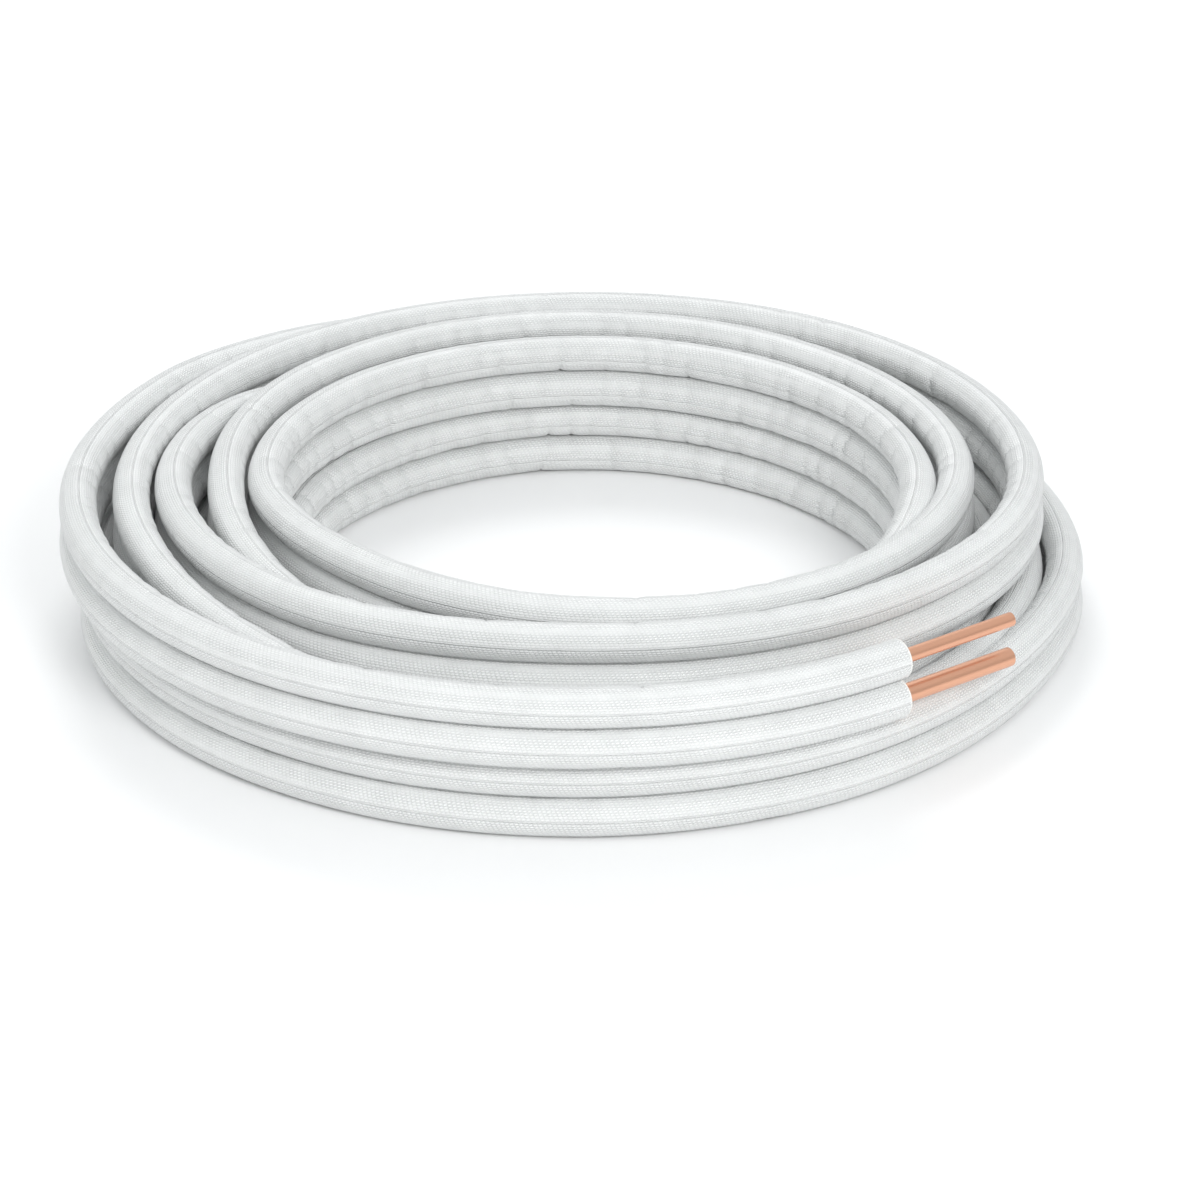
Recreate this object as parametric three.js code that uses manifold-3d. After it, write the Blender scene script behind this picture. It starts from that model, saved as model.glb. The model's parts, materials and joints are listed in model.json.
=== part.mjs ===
// A mini split line set: two insulated copper refrigerant lines bonded side by side as a pair
// and wound into a loose coil that lies flat on the floor. The pair stands on edge, the liquid
// line above the suction line, and the coil is two pairs high. At both ends the insulation is
// cut square and the bare copper goes on.
// Millimetres, +Z up, origin at the middle of the coil on the floor. Angles are in degrees
// from the front (-Y), growing clockwise seen from above, so 90 is the left side (-X).

import * as THREE from "three";
import { mergeVertices } from "three/addons/utils/BufferGeometryUtils.js";
import Module from "manifold-3d";

const wasm = await Module();
wasm.setup();

// Copper tubes
const liquidTubeDiameter = 9.525;
const suctionTubeDiameter = 12.7;
const tubeWall = 0.81;
const bareLength = 94;
const tubeInsertion = 60;

// Insulation
const liquidSleeveDiameter = 26;
const suctionSleeveDiameter = 28;

// Coil: turns lie side by side in each layer, with a groove between neighbours
const coilDiameter = 714;
const turnsSideBySide = 5;
const turnSpace = 4.5;
const grooveDepth = 20;

// Clearance between pieces that touch, and least distance from the inner end's bare copper to
// the turns round it
const pieceGap = 0.3;
const copperClearance = 3;

// How far inside the wound turns a free stretch ends, where it joins them
const joinDepth = 1.5;

// Mesh fineness
const coilSteps = 40;
const lineSides = 8;
const tubeSides = 16;
const tubeSteps = 6;

const pairHeight = liquidSleeveDiameter + suctionSleeveDiameter;
const suctionHeight = suctionSleeveDiameter / 2;
const liquidHeight = suctionSleeveDiameter + liquidSleeveDiameter / 2;
const widestSleeve = Math.max(liquidSleeveDiameter, suctionSleeveDiameter);
const turnPitch = widestSleeve + turnSpace;
const lastTurn = turnsSideBySide - 1;
const outerTurnRadius = coilDiameter / 2 - widestSleeve / 2;
const innerTurnRadius = turnRadius(lastTurn);

// Rows of lines from the floor up: two pairs, each with its suction line below
const rows = [
  { height: suctionHeight, diameter: suctionSleeveDiameter },
  { height: liquidHeight, diameter: liquidSleeveDiameter },
  { height: pairHeight + suctionHeight, diameter: suctionSleeveDiameter },
  { height: pairHeight + liquidHeight, diameter: liquidSleeveDiameter },
];
const topRow = rows.length - 1;

// The outermost turn of the upper layer lies loose on the turn below, and sinks into the
// lower layer round the back of the coil
const outerEnd = {
  angle: -37,
  turning: 1,
  radius: outerTurnRadius,
  base: pairHeight + pieceGap,
  joinFrom: 165,
  joinTo: 292,
  joinRadius: outerTurnRadius - joinDepth,
  joinBase: pieceGap,
};

// The inner end leaves the innermost turn of the lower layer and stands in from it, far
// enough for its straight copper to clear the turns
const eyeRadius = innerTurnRadius - widestSleeve / 2;
const copperReach = eyeRadius - suctionTubeDiameter / 2 - copperClearance;
const innerEnd = {
  angle: 5,
  turning: -1,
  radius: Math.sqrt(copperReach ** 2 - bareLength ** 2),
  base: 0,
  joinFrom: 6,
  joinTo: 62,
  joinRadius: innerTurnRadius + joinDepth,
  joinBase: pieceGap,
};

function turnRadius(turn) {
  return outerTurnRadius - turn * turnPitch;
}

function toGeometry(solid) {
  const mesh = solid.getMesh();
  const geometry = new THREE.BufferGeometry();
  geometry.setAttribute("position", new THREE.BufferAttribute(mesh.vertProperties, 3));
  geometry.setIndex(new THREE.BufferAttribute(mesh.triVerts, 1));
  geometry.computeVertexNormals();
  return geometry;
}

function toSolid(geometry) {
  const bare = geometry.clone();
  bare.deleteAttribute("normal");
  bare.deleteAttribute("uv");
  const merged = mergeVertices(bare, 1e-3);
  return new wasm.Manifold(
    new wasm.Mesh({
      numProp: 3,
      vertProperties: Float32Array.from(merged.attributes.position.array),
      triVerts: Uint32Array.from(merged.index.array),
    }),
  );
}

// Corners of a line's section that lie between two directions, where 0 points outwards and
// 90 up. A flat of the section faces each of the four main directions.
function sectionCorners(radius, row, from, to) {
  const { height, diameter } = row;
  const reach = diameter / 2 / Math.cos(Math.PI / lineSides);
  const step = 360 / lineSides;
  const corners = [];
  for (let angle = from + step / 2; angle < to; angle += step) {
    const turn = THREE.MathUtils.degToRad(angle);
    corners.push(new THREE.Vector2(radius + reach * Math.cos(turn), height + reach * Math.sin(turn)));
  }
  return corners;
}

// Floor of the groove between two neighbouring turns, walked from one to the other
function grooveFloor(fromTurn, toTurn, fromRow, toRow, height) {
  const side = Math.sign(turnRadius(toTurn) - turnRadius(fromTurn));
  return [
    new THREE.Vector2(turnRadius(fromTurn) + (side * fromRow.diameter) / 2, height),
    new THREE.Vector2(turnRadius(toTurn) - (side * toRow.diameter) / 2, height),
  ];
}

// Section of the wound turns, walked from the inside of the bottom outwards and round. The
// lower layer has every turn, and the upper one all but the loose outermost turn.
function coilProfile() {
  const bottom = rows[0];
  const shelf = rows[1];
  const top = rows[topRow];
  const points = [];
  for (let turn = lastTurn; turn >= 0; turn--) {
    points.push(...sectionCorners(turnRadius(turn), bottom, 180, 360));
    if (turn > 0) points.push(...grooveFloor(turn, turn - 1, bottom, bottom, grooveDepth));
  }
  points.push(...sectionCorners(turnRadius(0), bottom, 0, 90));
  points.push(...sectionCorners(turnRadius(0), shelf, -90, 180));
  points.push(...grooveFloor(0, 1, shelf, rows[2], pairHeight - grooveDepth));
  points.push(...sectionCorners(turnRadius(1), rows[2], -45, 90));
  points.push(...sectionCorners(turnRadius(1), top, -90, 0));
  for (let turn = 1; turn <= lastTurn; turn++) {
    points.push(...sectionCorners(turnRadius(turn), top, 0, 180));
    if (turn < lastTurn) {
      points.push(...grooveFloor(turn, turn + 1, top, top, 2 * pairHeight - grooveDepth));
    }
  }
  points.push(...sectionCorners(innerTurnRadius, top, 180, 270));
  for (let row = topRow - 1; row > 0; row--) {
    points.push(...sectionCorners(innerTurnRadius, rows[row], 90, 270));
  }
  points.push(...sectionCorners(innerTurnRadius, bottom, 90, 180));
  points.push(points[0].clone());
  return points;
}

function woundTurns() {
  return toSolid(new THREE.LatheGeometry(coilProfile(), coilSteps).rotateX(Math.PI / 2));
}

// A stretch of the pair near one of its ends. Distance 0 is where the sleeves are cut:
// positive distances follow the coil, and negative ones run straight on along the copper.
class FreeStretch extends THREE.Curve {
  constructor(end, from, to, height) {
    super();
    this.end = end;
    this.from = from;
    this.to = to;
    this.height = height;
  }

  getPoint(t, target = new THREE.Vector3()) {
    const { angle, turning, radius, base, joinFrom, joinTo, joinRadius, joinBase } = this.end;
    const distance = this.from + t * (this.to - this.from);
    const turned = THREE.MathUtils.radToDeg(Math.max(distance, 0) / radius);
    const joined = THREE.MathUtils.smoothstep(turned, joinFrom, joinTo);
    const direction = THREE.MathUtils.degToRad(angle + turning * turned);
    const reach = THREE.MathUtils.lerp(radius, joinRadius, joined);
    const straight = turning * Math.min(distance, 0);
    const outward = new THREE.Vector2(-Math.sin(direction), -Math.cos(direction));
    const along = new THREE.Vector2(-Math.cos(direction), Math.sin(direction));
    return target.set(
      outward.x * reach + along.x * straight,
      outward.y * reach + along.y * straight,
      THREE.MathUtils.lerp(base, joinBase, joined) + this.height,
    );
  }

  // Keeps a swept section upright, with its first axis down and its second one level
  computeFrenetFrames(segments) {
    const frames = { tangents: [], normals: [], binormals: [] };
    for (let step = 0; step <= segments; step++) {
      const tangent = this.getTangentAt(step / segments);
      const level = new THREE.Vector3(tangent.y, -tangent.x, 0).normalize();
      frames.tangents.push(tangent);
      frames.normals.push(tangent.clone().cross(level));
      frames.binormals.push(level.negate());
    }
    return frames;
  }
}

function sweep(shape, path, steps) {
  return new THREE.ExtrudeGeometry(shape, { steps, extrudePath: path, bevelEnabled: false });
}

// Section of the bonded pair, standing on its path. A section's first axis points down when
// it is swept, so heights are turned over.
function pairShape() {
  const [suction, liquid] = rows;
  const rim = [
    ...sectionCorners(0, suction, -90, 90),
    ...sectionCorners(0, liquid, -90, 270),
    ...sectionCorners(0, suction, 90, 270),
  ];
  return new THREE.Shape(rim.map((corner) => new THREE.Vector2(-corner.y, corner.x)));
}

function roundShape(diameter) {
  const shape = new THREE.Shape();
  const points = [];
  for (let side = 0; side < tubeSides; side++) {
    const turn = (2 * Math.PI * side) / tubeSides;
    points.push(new THREE.Vector2((diameter / 2) * Math.cos(turn), (diameter / 2) * Math.sin(turn)));
  }
  return shape.setFromPoints(points);
}

function stretchLength(end) {
  return THREE.MathUtils.degToRad(end.joinTo) * end.radius;
}

function freePair(end) {
  const length = stretchLength(end);
  const step = (2 * Math.PI * outerTurnRadius) / coilSteps;
  return toSolid(sweep(pairShape(), new FreeStretch(end, 0, length, 0), Math.ceil(length / step)));
}

// Room in the foam for the copper that reaches back into it
function tubeSocket(end, height, diameter) {
  const path = new FreeStretch(end, -pieceGap, tubeInsertion, height);
  return toSolid(sweep(roundShape(diameter + 2 * pieceGap), path, tubeSteps));
}

function tubeEnd(end, height, diameter) {
  const shape = roundShape(diameter);
  shape.holes.push(new THREE.Path(roundShape(diameter - 2 * tubeWall).getPoints().reverse()));
  const path = new FreeStretch(end, -bareLength, tubeInsertion - pieceGap, height);
  return sweep(shape, path, tubeSteps);
}

function twinInsulation() {
  let insulation = woundTurns();
  for (const end of [outerEnd, innerEnd]) {
    insulation = insulation.add(freePair(end));
  }
  for (const end of [outerEnd, innerEnd]) {
    insulation = insulation.subtract(tubeSocket(end, suctionHeight, suctionTubeDiameter));
    insulation = insulation.subtract(tubeSocket(end, liquidHeight, liquidTubeDiameter));
  }
  return toGeometry(insulation);
}

function foamMaterial() {
  return new THREE.MeshStandardMaterial({ color: 0xeef1f1, roughness: 0.45, metalness: 0 });
}

function copperMaterial() {
  return new THREE.MeshStandardMaterial({ color: 0xc9744a, roughness: 0.16, metalness: 1 });
}

function piece(name, geometry, material) {
  const mesh = new THREE.Mesh(geometry, material);
  mesh.name = name;
  return mesh;
}

const lineSet = new THREE.Group();
lineSet.add(piece("twin_line_insulation", twinInsulation(), foamMaterial()));
const ends = { outer: outerEnd, inner: innerEnd };
for (const [place, end] of Object.entries(ends)) {
  const liquid = tubeEnd(end, liquidHeight, liquidTubeDiameter);
  const suction = tubeEnd(end, suctionHeight, suctionTubeDiameter);
  lineSet.add(piece(`liquid_line_${place}_end`, liquid, copperMaterial()));
  lineSet.add(piece(`suction_line_${place}_end`, suction, copperMaterial()));
}

export default lineSet;
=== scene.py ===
"""Dresses a coiled mini split line set: embossed white foam sleeves and bright copper tubes."""

import json
import math

import bmesh
import bpy
import numpy as np
from bpy.props import FloatProperty, FloatVectorProperty, IntProperty, PointerProperty
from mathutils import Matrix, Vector

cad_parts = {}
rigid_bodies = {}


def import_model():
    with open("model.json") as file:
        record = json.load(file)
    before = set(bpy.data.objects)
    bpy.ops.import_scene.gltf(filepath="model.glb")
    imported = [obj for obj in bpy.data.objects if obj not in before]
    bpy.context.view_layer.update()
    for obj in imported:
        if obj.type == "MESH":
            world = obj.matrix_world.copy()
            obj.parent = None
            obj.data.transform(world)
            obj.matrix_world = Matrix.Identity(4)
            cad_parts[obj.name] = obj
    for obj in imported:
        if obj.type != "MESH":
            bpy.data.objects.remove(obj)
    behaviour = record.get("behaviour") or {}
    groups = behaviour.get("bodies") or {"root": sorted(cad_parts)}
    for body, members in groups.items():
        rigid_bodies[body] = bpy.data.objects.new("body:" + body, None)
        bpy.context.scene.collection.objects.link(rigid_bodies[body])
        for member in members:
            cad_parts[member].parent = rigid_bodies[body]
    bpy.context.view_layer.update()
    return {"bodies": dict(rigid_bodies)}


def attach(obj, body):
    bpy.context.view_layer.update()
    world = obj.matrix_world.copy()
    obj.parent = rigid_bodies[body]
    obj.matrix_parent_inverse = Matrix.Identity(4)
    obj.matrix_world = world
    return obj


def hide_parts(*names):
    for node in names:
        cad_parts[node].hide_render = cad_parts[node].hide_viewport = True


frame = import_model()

bl_info = {
    "name": "Coiled line set",
    "version": (1, 0, 0),
    "blender": (4, 5, 0),
    "location": "View3D > Sidebar > Line Set",
    "description": "Insulated twin copper lines wound in a loose coil",
    "category": "Add Mesh",
}

MM = 0.001
BODY = next(iter(frame["bodies"]))
COIL_NODE = "twin_line_insulation"

# The record's finish for the tubes, whose material comes with the frame
COPPER = "bright_copper"

# The course of the pair from its outer end to its inner end: the angle that it has turned from
# the front, growing clockwise from above, how many turn pitches it lies in from the outermost
# turn, and how far it has climbed from the lower layer, 0, to the upper one, 1
COURSE = [
    (-37, 0, 1), (0, 0, 1), (45, 0, 1), (90, 0.09, 1), (120, 0.28, 1), (135, 0.39, 0.93),
    (150, 0.32, 0.8), (165, 0.18, 0.6), (180, 0, 0.38), (200, 0, 0.12), (225, 0, 0),
    (270, 0.09, 0), (300, 0.42, 0), (360, 0.39, 0), (450, 0.49, 0), (495, 0.81, 0), (540, 1.09, 0),
    (630, 1.09, 0), (675, 1.12, 0), (720, 1.23, 0.05), (765, 1.33, 0.7), (810, 1.33, 1),
    (855, 1.19, 1), (900, 0.98, 1), (945, 0.77, 1), (990, 1.09, 1), (1035, 2.35, 1),
    (1080, 3.16, 1), (1125, 2.7, 1), (1170, 2.32, 1), (1200, 2.18, 0.8), (1230, 2.11, 0.3),
    (1260, 2.07, 0), (1350, 2.02, 0), (1440, 2.25, 0), (1530, 2.46, 0), (1620, 2.77, 0),
    (1710, 2.91, 0), (1800, 3.12, 0.05), (1845, 3.4, 0.7), (1890, 3.58, 1), (1935, 2.81, 1),
    (1980, 2.25, 1), (2025, 2.42, 1), (2070, 2.77, 1), (2115, 3.68, 1), (2160, 4.56, 1),
    (2205, 5.09, 1), (2250, 4.56, 1), (2295, 4.28, 1), (2340, 4, 1), (2385, 3.86, 1),
    (2430, 3.72, 1), (2475, 3.86, 0.6), (2520, 4.21, 0.1), (2565, 4.6, 0), (2610, 4.88, 0),
    (2655, 4.39, 0), (2700, 3.82, 0), (2745, 3.82, 0), (2790, 3.89, 0), (2835, 4.85, 0),
    (2855, 5.75, 0), (2872, 6.256, 0), (2885, 6.256, 0),
]


class LineSetSizes(bpy.types.PropertyGroup):
    liquid_sleeve: FloatProperty(name="Liquid sleeve", description="Outside of the upper line's sleeve",
                                 default=26 * MM, unit="LENGTH")
    suction_sleeve: FloatProperty(name="Suction sleeve", description="Outside of the lower line's sleeve",
                                  default=28 * MM, unit="LENGTH")
    liquid_tube: FloatProperty(name="Liquid tube", description="Outside of the smaller copper tube",
                               default=9.525 * MM, unit="LENGTH")
    suction_tube: FloatProperty(name="Suction tube", description="Outside of the larger copper tube",
                                default=12.7 * MM, unit="LENGTH")
    tube_wall: FloatProperty(name="Tube wall", description="Thickness of the copper",
                             default=0.81 * MM, unit="LENGTH")
    bare_length: FloatProperty(name="Bare length", description="Copper past the cut sleeves",
                               default=94 * MM, unit="LENGTH")
    outer_turn: FloatProperty(name="Outer turn", description="Radius of the outermost turn's middle",
                              default=343 * MM, unit="LENGTH")
    turn_pitch: FloatProperty(name="Turn pitch", description="Distance of two turns that lie tight",
                              default=28.5 * MM, unit="LENGTH")
    lift: FloatProperty(name="Lift", description="Clearance between the two layers of the coil",
                        default=0.3 * MM, unit="LENGTH")
    sleeve_sides: IntProperty(name="Sleeve sides", description="Faces round a sleeve", default=24)
    tube_sides: IntProperty(name="Tube sides", description="Faces round a tube", default=56)


class LineSetLooks(bpy.types.PropertyGroup):
    skin: FloatVectorProperty(name="Skin", description="Colour of the embossed skin", subtype="COLOR",
                              default=(0.88, 0.89, 0.885), min=0, max=1)
    foam: FloatVectorProperty(name="Foam", description="Colour of the cut foam", subtype="COLOR",
                              default=(0.86, 0.86, 0.83), min=0, max=1)
    floor: FloatVectorProperty(name="Floor", description="Colour of the studio floor", subtype="COLOR",
                               default=(0.93, 0.93, 0.93), min=0, max=1)
    grain_pitch: FloatProperty(name="Grain pitch", description="Embossed grains along the line",
                               default=2.9 * MM, unit="LENGTH")
    rows_round: IntProperty(name="Rows", description="Rows of grains round a sleeve", default=48)
    bands_round: IntProperty(name="Bands", description="Bands of bolder grains round a sleeve",
                             default=8)
    ribs_round: IntProperty(name="Ribs", description="Raised lengthwise ribs round a sleeve",
                            default=4)


def sizes():
    return bpy.context.scene.line_set_sizes


def looks():
    return bpy.context.scene.line_set_looks


# The pair's course through space


def smooth_through(stations, values, wanted):
    """Values at the wanted stations, on cubic pieces whose slope at each station is that
    between its two neighbours."""
    last = len(stations) - 1
    before = np.maximum(np.arange(last + 1) - 1, 0)
    after = np.minimum(np.arange(last + 1) + 1, last)
    slopes = (values[after] - values[before]) / (stations[after] - stations[before])
    piece = np.clip(np.searchsorted(stations, wanted, side="right") - 1, 0, len(stations) - 2)
    span = stations[piece + 1] - stations[piece]
    t = (wanted - stations[piece]) / span
    start, end = values[piece], values[piece + 1]
    rise, fall = slopes[piece] * span, slopes[piece + 1] * span
    return (
        (2 * t**3 - 3 * t**2 + 1) * start
        + (t**3 - 2 * t**2 + t) * rise
        + (3 * t**2 - 2 * t**3) * end
        + (t**3 - t**2) * fall
    )


class Course:
    """The line on which the underside of the pair runs, by distance from the cut outer end."""

    STEPS = 12000
    STRAY = 0.5 * MM
    WAVES = ((0.4, 3.1, 0), (0.35, 7.3, 1), (0.25, 13.7, 2))
    CALM_ENDS = 60
    SLOPE_REACH = 3 * MM

    def __init__(self):
        size = sizes()
        turned, inset, climb = np.array(COURSE, float).T
        angles = np.linspace(turned[0], turned[-1], self.STEPS)
        layer = size.liquid_sleeve + size.suction_sleeve + size.lift
        radius = size.outer_turn - size.turn_pitch * smooth_through(turned, inset, angles)
        radius -= self.looseness(angles)
        height = np.clip(smooth_through(turned, climb, angles), 0, 1) * layer
        a = np.radians(angles)
        self.points = np.stack([-radius * np.sin(a), -radius * np.cos(a), height], -1)
        steps = np.linalg.norm(np.diff(self.points, axis=0), axis=1)
        self.distance = np.concatenate([[0], np.cumsum(steps)])
        self.length = self.distance[-1]

    def looseness(self, angles):
        """How far a pair that is wound by hand strays inwards, none of it near the ends."""
        wave = 1
        for size, pace, start in self.WAVES:
            wave = wave + size * np.sin(pace * np.radians(angles) + start)
        from_start = np.clip((angles - angles[0]) / self.CALM_ENDS, 0, 1)
        from_end = np.clip((angles[-1] - angles) / self.CALM_ENDS, 0, 1)
        return self.STRAY * wave * from_start * from_end

    def spot(self, distance):
        """Points of the course itself, and its end points beyond both ends."""
        return np.stack([np.interp(distance, self.distance, part) for part in self.points.T], -1)

    def at(self, distance):
        """Places and the directions along, outward and up, straight on beyond both ends."""
        inside = np.clip(distance, 0, self.length)
        near = self.spot(inside)
        along = self.spot(inside + self.SLOPE_REACH) - self.spot(inside - self.SLOPE_REACH)
        along /= np.linalg.norm(along, axis=1)[:, None]
        near = near + along * (distance - inside)[:, None]
        outward = np.cross(along, (0, 0, 1.0))
        outward /= np.linalg.norm(outward, axis=1)[:, None]
        outward *= np.sign((outward * near).sum(axis=1))[:, None]
        up = np.cross(along, outward)
        up *= np.sign(up[:, 2])[:, None]
        return near, along, outward, up


# Meshes swept along the course


class Rings:
    """A list of rings along a line: the distance of each, its radius and its material."""

    def __init__(self):
        self.distance, self.radius, self.material = [], [], []

    def add(self, distance, radius, material=0):
        self.distance.append(distance)
        self.radius.append(radius)
        self.material.append(material)

    def corner(self, distance, radius, round_by, turn_from, turn_to, way, material):
        """A rounded rim, whose turn runs from 0, along the line's side, to 90, across its end."""
        for turn in np.radians(np.linspace(turn_from, turn_to, 5)):
            back = round_by * (1 - math.sin(turn))
            drop = round_by * (1 - math.cos(turn))
            self.add(distance + way * back, radius - drop, material)


def sweep(name, rings, sides, height, course, dent=None, lengthwise=None):
    """A closed mesh of rings round the line at that height, with its own map of the surface.

    The map's first axis is the distance along the line in metres, and its second one the share
    of the way round it. dent gives how far each point sinks, and lengthwise how far it moves
    along.
    """
    distance, radius = np.array(rings.distance), np.array(rings.radius)
    count = len(distance)
    built = bmesh.new()
    built.loops.layers.uv.new("skin")
    bmesh.ops.create_grid(built, x_segments=sides, y_segments=count - 1, size=0.5, calc_uvs=True)
    mesh = bpy.data.meshes.new(name)
    built.to_mesh(mesh)
    built.free()

    flat = np.empty(len(mesh.vertices) * 3)
    mesh.vertices.foreach_get("co", flat)
    flat = flat.reshape(-1, 3)
    column = np.rint((flat[:, 0] + 0.5) * sides).astype(int)
    row = np.rint((flat[:, 1] + 0.5) * (count - 1)).astype(int)
    turn = 2 * math.pi * (column % sides) / sides
    along_line = distance[row]
    if lengthwise is not None:
        along_line = along_line + lengthwise(distance[row], turn)
    reach = radius[row]
    if dent is not None:
        reach = reach - dent(distance[row], turn) * (reach > 0.8 * radius.max())
    place, _, outward, up = course.at(along_line)
    spot = place + outward * (reach * np.cos(turn))[:, None]
    spot = spot + up * (height + reach * np.sin(turn))[:, None]
    mesh.vertices.foreach_set("co", spot.ravel())

    layer = mesh.uv_layers["skin"]
    unit = np.empty(len(mesh.loops) * 2)
    layer.uv.foreach_get("vector", unit)
    unit = unit.reshape(-1, 2)
    loop_row = np.rint(unit[:, 1] * (count - 1)).astype(int)
    layer.uv.foreach_set("vector", np.stack([distance[loop_row], unit[:, 0]], -1).ravel())

    middle = np.array([face.vertices[0] for face in mesh.polygons])
    mesh.polygons.foreach_set("material_index", np.array(rings.material)[row[middle]])
    mesh.polygons.foreach_set("use_smooth", np.ones(len(mesh.polygons), bool))

    closed = bmesh.new()
    closed.from_mesh(mesh)
    bmesh.ops.remove_doubles(closed, verts=closed.verts, dist=1e-6)
    bmesh.ops.recalc_face_normals(closed, faces=closed.faces)
    closed.to_mesh(mesh)
    closed.free()
    mesh.update()
    piece = bpy.data.objects.new(name, mesh)
    bpy.context.scene.collection.objects.link(piece)
    return piece


class Creases:
    """Cross creases that the skin takes on the inside of the bend, where it is squeezed.

    Their gaps, depths and slant are in millimetres, and how far they spread round is in radians.
    """

    HALF_WIDTH = 1.6 * MM
    SQUEEZE = 0.5 * MM
    GAPS = (13, 31)
    DEPTHS = (0.6, 1.9)
    SPREADS = (0.75, 1.35)
    SLANT = 2.6
    PLAIN_START, PLAIN_END = 25 * MM, 30 * MM

    def __init__(self, seed, length):
        rng = np.random.default_rng(seed)
        places = np.cumsum(rng.uniform(*self.GAPS, int(length / (12 * MM))) * MM)
        self.place = places[(places > self.PLAIN_START) & (places < length - self.PLAIN_END)]
        count = len(self.place)
        self.depth = rng.uniform(*self.DEPTHS, count) * MM
        self.centre = math.pi + rng.normal(0, 0.35, count)
        self.spread = rng.uniform(*self.SPREADS, count)
        self.slant = rng.normal(0, self.SLANT, count) * MM

    def side(self, turn, centre, spread):
        """How much of a crease reaches a point at that turn round the line."""
        off = np.abs((turn - centre + math.pi) % (2 * math.pi) - math.pi)
        return np.exp(-((off / spread) ** 4))

    def dent(self, distance, turn):
        """How far the skin sinks: most in a crease, and least where it swells beside one."""
        near = np.clip(np.searchsorted(self.place, distance), 1, len(self.place) - 1)
        left = np.abs(distance - self.place[near - 1]) < np.abs(distance - self.place[near])
        near = np.where(left, near - 1, near)
        off = np.abs(distance - self.place[near])
        side = self.side(turn, self.centre[near], self.spread[near])
        dip = np.exp(-((off / self.HALF_WIDTH) ** 2))
        swell = 0.3 * np.exp(-(((off - 4 * self.HALF_WIDTH) / (2.5 * self.HALF_WIDTH)) ** 2))
        return np.maximum((self.depth[near] * (dip - swell) + self.SQUEEZE) * side, 0)

    def lengthwise(self, distance, turn):
        """How far a ring's points move along, so that the creases slant."""
        slant = np.interp(distance, self.place, self.slant)
        return slant * np.sin(turn) * (0.5 - 0.5 * np.cos(turn)) ** 2

    def ring_places(self, start, end, longest):
        """Rings at each crease and both its edges, and between them at most that far apart."""
        inside = self.place[(self.place > start + 6 * MM) & (self.place < end - 6 * MM)]
        edges = np.concatenate([inside - self.HALF_WIDTH * 1.3, inside, inside + self.HALF_WIDTH * 1.3])
        marks = np.sort(np.concatenate([[start, end], edges]))
        places = [start]
        for near, far in zip(marks[:-1], marks[1:]):
            parts = max(1, math.ceil((far - near) / longest))
            places.extend(near + (far - near) * np.arange(1, parts + 1) / parts)
        return places


# Material numbers of a sleeve
SKIN, CUT = 0, 1

# A sleeve's cut end: its rounded rim, the hole for the tube, that hole's eased mouth, and the
# room round the tube
RIM = 1.1 * MM
SOCKET = 20 * MM
MOUTH = 0.6 * MM
TUBE_ROOM = 0.05 * MM

# Where the skin's rings start past the rim, and how far apart they are at most
SKIN_START = RIM + 0.5 * MM
RING_GAP = 9 * MM

# A bare tube: how far it goes into its sleeve, the rounding of its rim, and its rings
TUBE_INSIDE = 18 * MM
BURR = 0.22 * MM
TUBE_RINGS = 24
BORE_RINGS = 12


def sleeve(name, diameter, tube, height, course, seed):
    """One foam sleeve, cut square at both ends, with a blind hole for the tube at each."""
    radius, hole, end = diameter / 2, tube / 2 + TUBE_ROOM, course.length
    face = ((SOCKET, 0), (SOCKET, hole), (MOUTH, hole), (0, hole + MOUTH), (0, (hole + radius) / 2))
    creases = Creases(seed, end)
    rings = Rings()
    for depth, reach in face:
        rings.add(depth, reach, CUT)
    rings.corner(0, radius, RIM, 90, 0, 1, CUT)
    for place in creases.ring_places(SKIN_START, end - SKIN_START, RING_GAP):
        rings.add(place, radius, SKIN)
    rings.corner(end, radius, RIM, 0, 90, -1, CUT)
    for depth, reach in reversed(face):
        rings.add(end - depth, reach, CUT)
    return sweep(name, rings, sizes().sleeve_sides, height, course, creases.dent, creases.lengthwise)


def tube_end(name, diameter, height, course, cut, way):
    """Bare tube from inside its sleeve, at the end where it is cut, with a clean open bore."""
    radius, bore, bare = diameter / 2, diameter / 2 - sizes().tube_wall, sizes().bare_length
    tip = cut - way * bare
    root = cut + way * TUBE_INSIDE
    rings = Rings()
    rings.add(root, 0)
    for part in np.linspace(0, 1, TUBE_RINGS)[:-1]:
        rings.add(root + (tip - root) * part, radius)
    rings.corner(tip, radius, BURR, 0, 90, way, 0)
    rings.add(tip, bore + BURR)
    for part in np.linspace(0, 1, BORE_RINGS):
        rings.add(tip + way * (BURR + (bare - BURR) * part), bore)
    rings.add(tip + way * bare, 0)
    return sweep(name, rings, sizes().tube_sides, height, course)


# Shader maths


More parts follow.
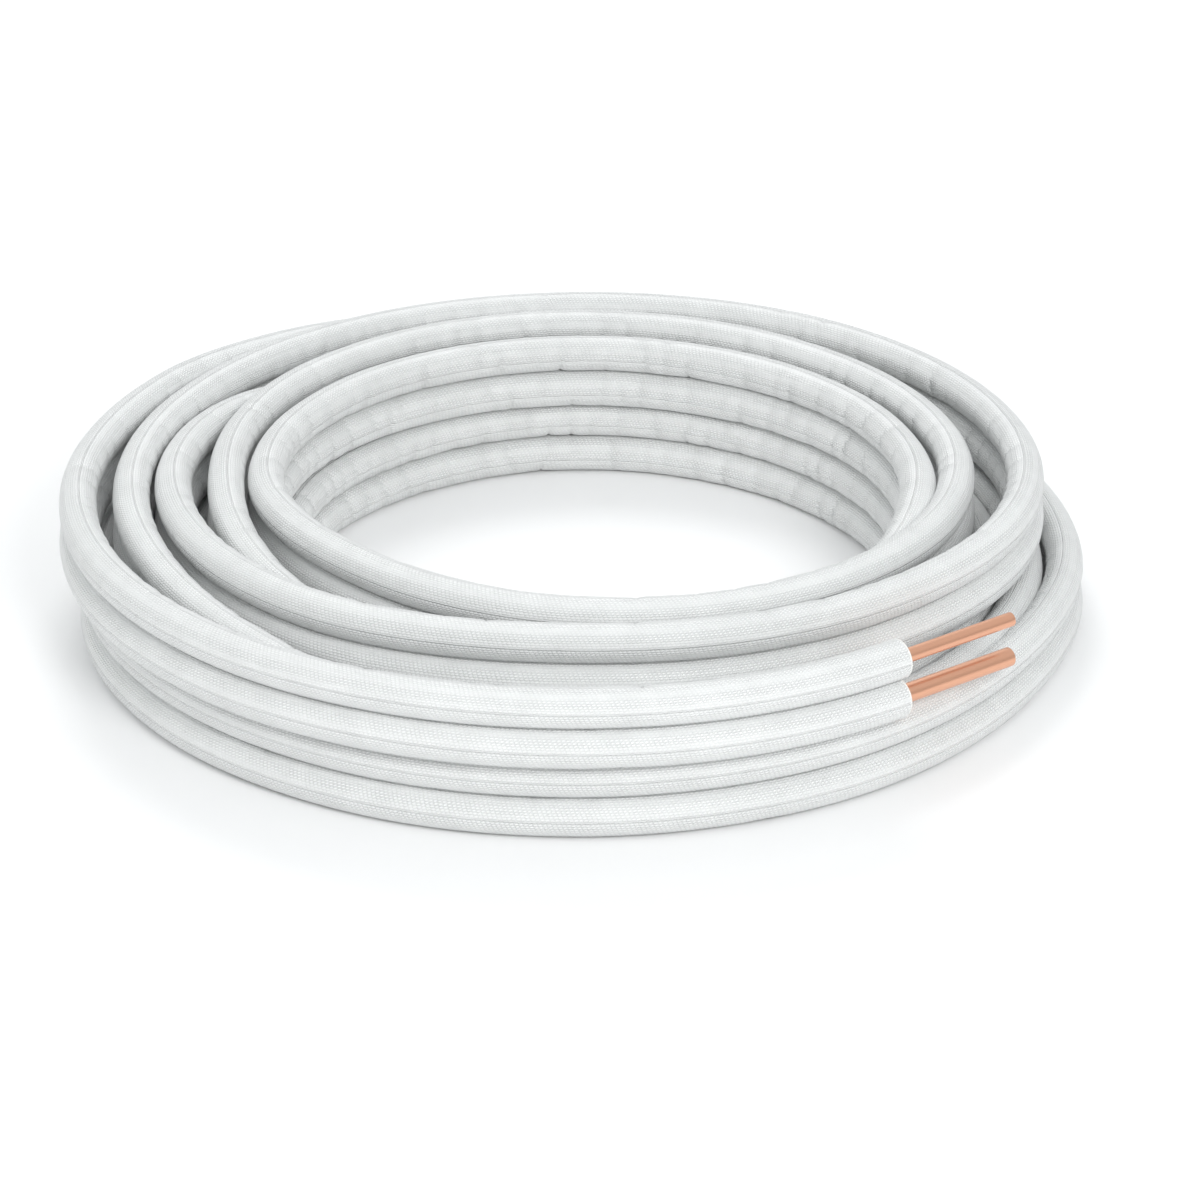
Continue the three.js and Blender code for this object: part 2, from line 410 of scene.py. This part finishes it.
class Value:
    """A number or vector that changes over a surface, with the usual operators."""

    def __init__(self, shade, socket):
        self.shade, self.socket = shade, socket

    def math(self, operation, *others):
        return self.shade.node("ShaderNodeMath", {"operation": operation},
                               dict(enumerate((self, *others))))

    def __add__(self, other):
        return self.math("ADD", other)

    def __sub__(self, other):
        return self.math("SUBTRACT", other)

    def __rsub__(self, other):
        return self.shade.number("SUBTRACT", other, self)

    def __mul__(self, other):
        return self.math("MULTIPLY", other)

    def __truediv__(self, other):
        return self.math("DIVIDE", other)

    def __abs__(self):
        return self.math("ABSOLUTE")

    __radd__ = __add__
    __rmul__ = __mul__

    def part(self):
        return self.math("FRACT")

    def most(self, other):
        return self.math("MAXIMUM", other)

    def between(self, low, high):
        """0 below low, 1 above high, and a smooth rise between them."""
        return self.shade.node("ShaderNodeMapRange", {"interpolation_type": "SMOOTHSTEP"},
                               {"Value": self, "From Min": low, "From Max": high})


class Nodes:
    """Adds nodes to the tree of a material or of the studio's surroundings."""

    def __init__(self, tree):
        self.tree = tree

    def node(self, kind, settings, inputs, output=0):
        made = self.tree.nodes.new(kind)
        for key, setting in settings.items():
            setattr(made, key, setting)
        for key, value in inputs.items():
            self.feed(made.inputs[key], value)
        return Value(self, made.outputs[output])

    def feed(self, socket, value):
        if isinstance(value, Value):
            self.tree.links.new(value.socket, socket)
        else:
            socket.default_value = value

    def number(self, operation, first, second):
        return self.node("ShaderNodeMath", {"operation": operation}, {0: first, 1: second})

    def axis(self, vector, which):
        return self.node("ShaderNodeSeparateXYZ", {}, {0: vector}, which)

    def stretched(self, vector, scale):
        return self.node("ShaderNodeMapping", {}, {"Vector": vector, "Scale": scale})

    def noise(self, vector, scale, detail=2.0, roughness=0.5):
        return self.node("ShaderNodeTexNoise", {},
                         {"Vector": vector, "Scale": scale, "Detail": detail, "Roughness": roughness})

    def cells(self, vector, scale):
        return self.node("ShaderNodeTexVoronoi", {}, {"Vector": vector, "Scale": scale})

    def blend(self, amount, first, second):
        made = self.tree.nodes.new("ShaderNodeMix")
        made.data_type = "RGBA"
        colour_a, colour_b = made.inputs[6], made.inputs[7]
        self.feed(made.inputs[0], amount)
        for socket, colour in ((colour_a, first), (colour_b, second)):
            self.feed(socket, colour if isinstance(colour, Value) else (*colour, 1))
        return Value(self, made.outputs[2])


class Shade(Nodes):
    """A material and the nodes of its surface."""

    def __init__(self, name):
        self.material = bpy.data.materials.new(name)
        self.material.use_nodes = True
        super().__init__(self.material.node_tree)
        self.surface = next(n for n in self.tree.nodes if n.type == "BSDF_PRINCIPLED")

    def mapped(self):
        """The surface's own map: metres along the line, and the share of the way round it."""
        both = self.node("ShaderNodeUVMap", {"uv_map": "skin"}, {})
        return both, self.axis(both, 0), self.axis(both, 1)

    def place(self):
        return self.node("ShaderNodeTexCoord", {}, {}, "Object")

    def bump(self, height, distance, strength=1.0, **more):
        return self.node("ShaderNodeBump", {},
                         {"Height": height, "Distance": distance, "Strength": strength, **more})

    def finish(self, **sockets):
        for name, value in sockets.items():
            if isinstance(value, tuple) and len(value) == 3:
                value = (*value, 1)
            self.feed(self.surface.inputs[name.replace("_", " ")], value)
        return self.material


def darker(colour, by):
    return tuple(channel * by for channel in colour)


def skin_material():
    """White polyethylene skin, embossed with staggered slanting grains and a few thin ribs.

    The rows of grains fit round a sleeve a whole number of times, so they meet where it closes.
    """
    shade = Shade("embossed_white_skin")
    both, along, around = shade.mapped()
    place = shade.place()
    look = looks()

    row = around * look.rows_round
    odd = (row.math("FLOOR") / 2).part()
    across = row.part() * 2 - 1
    lengthwise = (along / look.grain_pitch + odd + row * 0.25).part() * 2 - 1
    grain = (1.15 - lengthwise * lengthwise * 1.5 - across * across).between(0, 0.9)

    worn = shade.noise(shade.stretched(both, (5, 11, 1)), 1, 2).between(0.36, 0.62)
    bold = abs((around * look.bands_round + 0.2).part() * 2 - 1).between(0.3, 0.6)
    grain = grain * (0.3 + worn * 0.3 + bold * 0.4)
    rib = (1 - abs((around * look.ribs_round + 0.45).part() * 2 - 1)).between(0.945, 0.99)
    uneven = shade.noise(shade.stretched(both, (70, 36, 1)), 1, 3)
    slack = shade.noise(place, 48, 3, 0.55)

    height = grain * 0.6 + rib * 0.6 + uneven * 0.3
    fine = shade.bump(height, 0.95 * MM, 1.0)
    normal = shade.bump(slack, 1.6 * MM, 0.4, Normal=fine)
    # Painted shade: the hollows between the grains, and off the ribs, are darkened as if in shade; a
    # patchy darkening that follows the slack unevenness is mixed in
    painted_pit_shade_and_blotches = (1 - grain.most(rib)) * 0.8 + slack.between(0.3, 0.7) * 0.2
    colour = shade.blend(painted_pit_shade_and_blotches, look.skin, darker(look.skin, 0.80))
    roughness = 0.27 + uneven * 0.14 + (1 - grain) * 0.12
    return shade.finish(Base_Color=colour, Roughness=roughness, Normal=normal, IOR=1.5)


def foam_material():
    """Cut closed-cell foam, matte, with fine cells."""
    shade = Shade("cut_foam")
    place = shade.place()
    cells = shade.cells(place, 1400)
    blotch = shade.noise(place, 260, 3)
    # Painted shade: the sunken middles of the cells are darkened as hollows in shade
    colour = shade.blend(cells.between(0.05, 0.6), darker(looks().foam, 0.86), looks().foam)
    normal = shade.bump(cells * 0.7 + blotch * 0.5, 0.3 * MM, 0.8)
    return shade.finish(Base_Color=colour, Roughness=0.85 + blotch * 0.1, Normal=normal)


def floor_material():
    """Plain pale floor with a faint unevenness."""
    shade = Shade("studio_floor")
    place = shade.place()
    grain = shade.noise(place, 3, 2)
    colour = shade.blend(grain * 0.2, looks().floor, darker(looks().floor, 0.97))
    return shade.finish(Base_Color=colour, Roughness=0.6 + grain * 0.05)


def dress(piece, slot, nodes, *materials):
    for material in materials:
        piece.data.materials.append(material)
    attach(piece, BODY)
    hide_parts(*nodes)


# Operators


class LINESET_OT_insulation(bpy.types.Operator):
    """Winds the two bonded foam sleeves along the course of the coil"""

    bl_idname = "line_set.insulation"
    bl_label = "Wind Insulation"

    def execute(self, context):
        size, course = sizes(), Course()
        skin, foam = skin_material(), foam_material()
        suction_height = size.suction_sleeve / 2
        liquid_height = size.suction_sleeve + size.liquid_sleeve / 2
        lines = (
            ("liquid_line_sleeve", size.liquid_sleeve, size.liquid_tube, liquid_height, 11),
            ("suction_line_sleeve", size.suction_sleeve, size.suction_tube, suction_height, 23),
        )
        for name, diameter, tube, height, seed in lines:
            piece = sleeve(name, diameter, tube, height, course, seed)
            dress(piece, "white_foam_skin", [COIL_NODE], skin, foam)
        return {"FINISHED"}


class LINESET_OT_copper(bpy.types.Operator):
    """Adds the bare copper at both ends of both lines"""

    bl_idname = "line_set.copper"
    bl_label = "Add Copper Ends"

    def execute(self, context):
        size, course = sizes(), Course()
        copper = bpy.data.materials[COPPER]
        lines = (
            ("liquid_line", size.liquid_tube, size.suction_sleeve + size.liquid_sleeve / 2),
            ("suction_line", size.suction_tube, size.suction_sleeve / 2),
        )
        for line, diameter, height in lines:
            for end, cut, way in (("outer", 0.0, 1), ("inner", course.length, -1)):
                piece = tube_end(f"{line}_{end}_tube", diameter, height, course, cut, way)
                dress(piece, COPPER, [f"{line}_{end}_end"], copper)
        return {"FINISHED"}


class LINESET_OT_stage(bpy.types.Operator):
    """Sets the floor, the soft lights and the camera"""

    bl_idname = "line_set.stage"
    bl_label = "Set Stage"

    # The camera looks at the middle of the coil from 25 degrees above the floor. Its lens and
    # distance are read from how the coil narrows towards the back of the photo, which is 1181
    # pixels wide and has that middle a little below and left of its own.
    ELEVATION = math.radians(25)
    DISTANCE = 3.03
    FOCAL_PIXELS = 4363
    SHIFT_PIXELS = (16.2, -56)
    PHOTO_PIXELS = 1181
    COIL_MIDDLE = Vector((0, 0, 0.054))

    # Light from all round, dim at the height of the coil and bright overhead
    HORIZON = (0.45, 0.46, 0.46)
    OVERHEAD = (0.78, 0.80, 0.81)

    # Round lamps aimed at the coil: name, place and width in metres, and watts
    LAMPS = (
        ("key", (0.9, -2.4, 1.7), 1.1, 37),
        ("fill", (-2.0, -1.2, 1.3), 1.6, 8),
        ("back", (-0.3, 1.9, 2.2), 1.5, 25),
    )
    FLOOR_REACH = 9

    def execute(self, context):
        self.floor()
        for lamp in self.LAMPS:
            self.light(*lamp)
        self.world(context.scene)
        self.camera(context.scene)
        return {"FINISHED"}

    def floor(self):
        built = bmesh.new()
        bmesh.ops.create_grid(built, x_segments=2, y_segments=2, size=self.FLOOR_REACH)
        mesh = bpy.data.meshes.new("studio_floor")
        built.to_mesh(mesh)
        built.free()
        floor = bpy.data.objects.new("studio_floor", mesh)
        floor.data.materials.append(floor_material())
        bpy.context.scene.collection.objects.link(floor)

    def light(self, name, place, size, power):
        lamp = bpy.data.lights.new(name, "AREA")
        lamp.shape, lamp.size, lamp.energy = "DISK", size, power
        thing = bpy.data.objects.new(name, lamp)
        thing.location = place
        thing.rotation_euler = (self.COIL_MIDDLE - Vector(place)).to_track_quat("-Z", "Y").to_euler()
        bpy.context.scene.collection.objects.link(thing)

    def world(self, scene):
        scene.world = bpy.data.worlds.new("studio")
        scene.world.use_nodes = True
        around = Nodes(scene.world.node_tree)
        height = around.axis(around.node("ShaderNodeTexCoord", {}, {}, "Generated"), 2)
        glow = around.blend(height.between(-0.1, 0.7), self.HORIZON, self.OVERHEAD)
        around.feed(around.tree.nodes["Background"].inputs["Color"], glow)
        scene.view_settings.view_transform = "Standard"

    def camera(self, scene):
        data = bpy.data.cameras.new("camera")
        data.sensor_width = 36
        data.lens = data.sensor_width * self.FOCAL_PIXELS / self.PHOTO_PIXELS
        data.shift_x, data.shift_y = (pixels / self.PHOTO_PIXELS for pixels in self.SHIFT_PIXELS)
        camera = bpy.data.objects.new("camera", data)
        back = Vector((0, -math.cos(self.ELEVATION), math.sin(self.ELEVATION)))
        camera.location = self.COIL_MIDDLE + back * self.DISTANCE
        camera.rotation_euler = (-back).to_track_quat("-Z", "Y").to_euler()
        scene.collection.objects.link(camera)
        scene.camera = camera


class LINESET_PT_panel(bpy.types.Panel):
    """Lists the steps and the values of the line set"""

    bl_idname = "LINESET_PT_panel"
    bl_label = "Line Set"
    bl_space_type = "VIEW_3D"
    bl_region_type = "UI"
    bl_category = "Line Set"

    def draw(self, context):
        for operator in OPERATORS:
            self.layout.operator(operator.bl_idname)
        for group in (sizes(), looks()):
            for name in group.__annotations__:
                self.layout.prop(group, name)


OPERATORS = (LINESET_OT_stage, LINESET_OT_insulation, LINESET_OT_copper)
CLASSES = (LineSetSizes, LineSetLooks, *OPERATORS, LINESET_PT_panel)


def register():
    for thing in CLASSES:
        bpy.utils.register_class(thing)
    bpy.types.Scene.line_set_sizes = PointerProperty(type=LineSetSizes)
    bpy.types.Scene.line_set_looks = PointerProperty(type=LineSetLooks)


def unregister():
    del bpy.types.Scene.line_set_looks
    del bpy.types.Scene.line_set_sizes
    for thing in reversed(CLASSES):
        bpy.utils.unregister_class(thing)


def main():
    register()
    bpy.ops.line_set.stage()
    bpy.ops.line_set.insulation()
    bpy.ops.line_set.copper()


if __name__ == "__main__":
    main()
